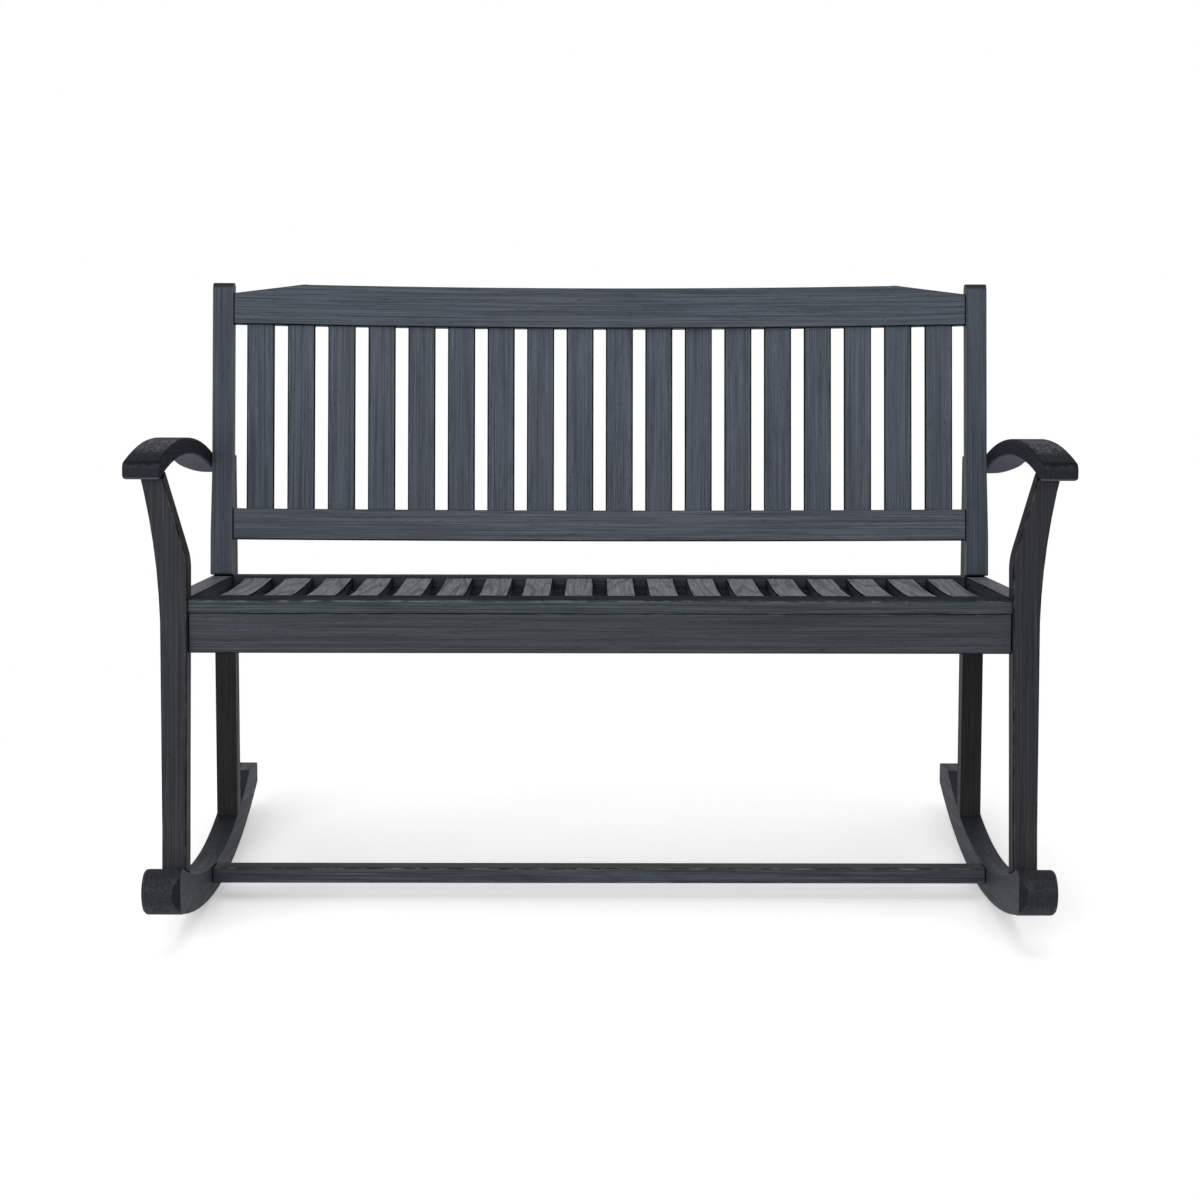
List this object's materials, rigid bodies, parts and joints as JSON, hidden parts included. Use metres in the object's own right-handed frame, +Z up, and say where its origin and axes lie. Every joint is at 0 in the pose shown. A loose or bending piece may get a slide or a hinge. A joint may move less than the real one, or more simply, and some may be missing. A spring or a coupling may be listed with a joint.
{
  "type": "rocking bench",
  "caption": "Slatted wooden rocking bench for two, with a bowed back, arched arms and curved rockers joined by a stretcher.",
  "frame": {"origin": "on the floor, at the middle of the box round the bench", "axes": "+Z up, +Y from the front of the seat to the back, +X towards the arm on the right of someone who faces the bench"},
  "size_m": [1.294, 0.7338, 0.8633],
  "materials": {
    "frame_wood": "dark blue-grey stain brushed over fine-grained hardwood, satin",
    "slat_wood": "dark blue-grey stain brushed over fine-grained hardwood, satin",
    "bolt_steel": "zinc-plated steel"
  },
  "bodies": {
    "root": {"rocker_left": "frame_wood", "rocker_right": "frame_wood", "cross_stretcher": "frame_wood", "front_leg_left": "frame_wood", "front_leg_right": "frame_wood", "rear_leg_left": "frame_wood", "rear_leg_right": "frame_wood", "arm_left": "frame_wood", "arm_right": "frame_wood", "seat_side_rail_left": "frame_wood", "seat_side_rail_right": "frame_wood", "front_apron": "frame_wood", "front_seat_board": "frame_wood", "rear_seat_rail": "frame_wood", "front_slat_ledger": "frame_wood", "rear_slat_ledger": "frame_wood", "back_stile_left": "frame_wood", "back_stile_right": "frame_wood", "back_top_rail": "frame_wood", "back_lower_rail": "frame_wood", "seat_slat_01": "slat_wood", "seat_slat_02": "slat_wood", "seat_slat_03": "slat_wood", "seat_slat_04": "slat_wood", "seat_slat_05": "slat_wood", "seat_slat_06": "slat_wood", "seat_slat_07": "slat_wood", "seat_slat_08": "slat_wood", "seat_slat_09": "slat_wood", "seat_slat_10": "slat_wood", "seat_slat_11": "slat_wood", "seat_slat_12": "slat_wood", "seat_slat_13": "slat_wood", "seat_slat_14": "slat_wood", "seat_slat_15": "slat_wood", "seat_slat_16": "slat_wood", "seat_slat_17": "slat_wood", "seat_slat_18": "slat_wood", "back_slat_01": "slat_wood", "back_slat_02": "slat_wood", "back_slat_03": "slat_wood", "back_slat_04": "slat_wood", "back_slat_05": "slat_wood", "back_slat_06": "slat_wood", "back_slat_07": "slat_wood", "back_slat_08": "slat_wood", "back_slat_09": "slat_wood", "back_slat_10": "slat_wood", "back_slat_11": "slat_wood", "back_slat_12": "slat_wood", "back_slat_13": "slat_wood", "back_slat_14": "slat_wood", "back_slat_15": "slat_wood", "back_slat_16": "slat_wood", "back_slat_17": "slat_wood", "back_slat_18": "slat_wood", "back_bolt_lower_left": "bolt_steel", "back_bolt_lower_right": "bolt_steel", "back_bolt_upper_left": "bolt_steel", "back_bolt_upper_right": "bolt_steel"}
  },
  "joints": []
}
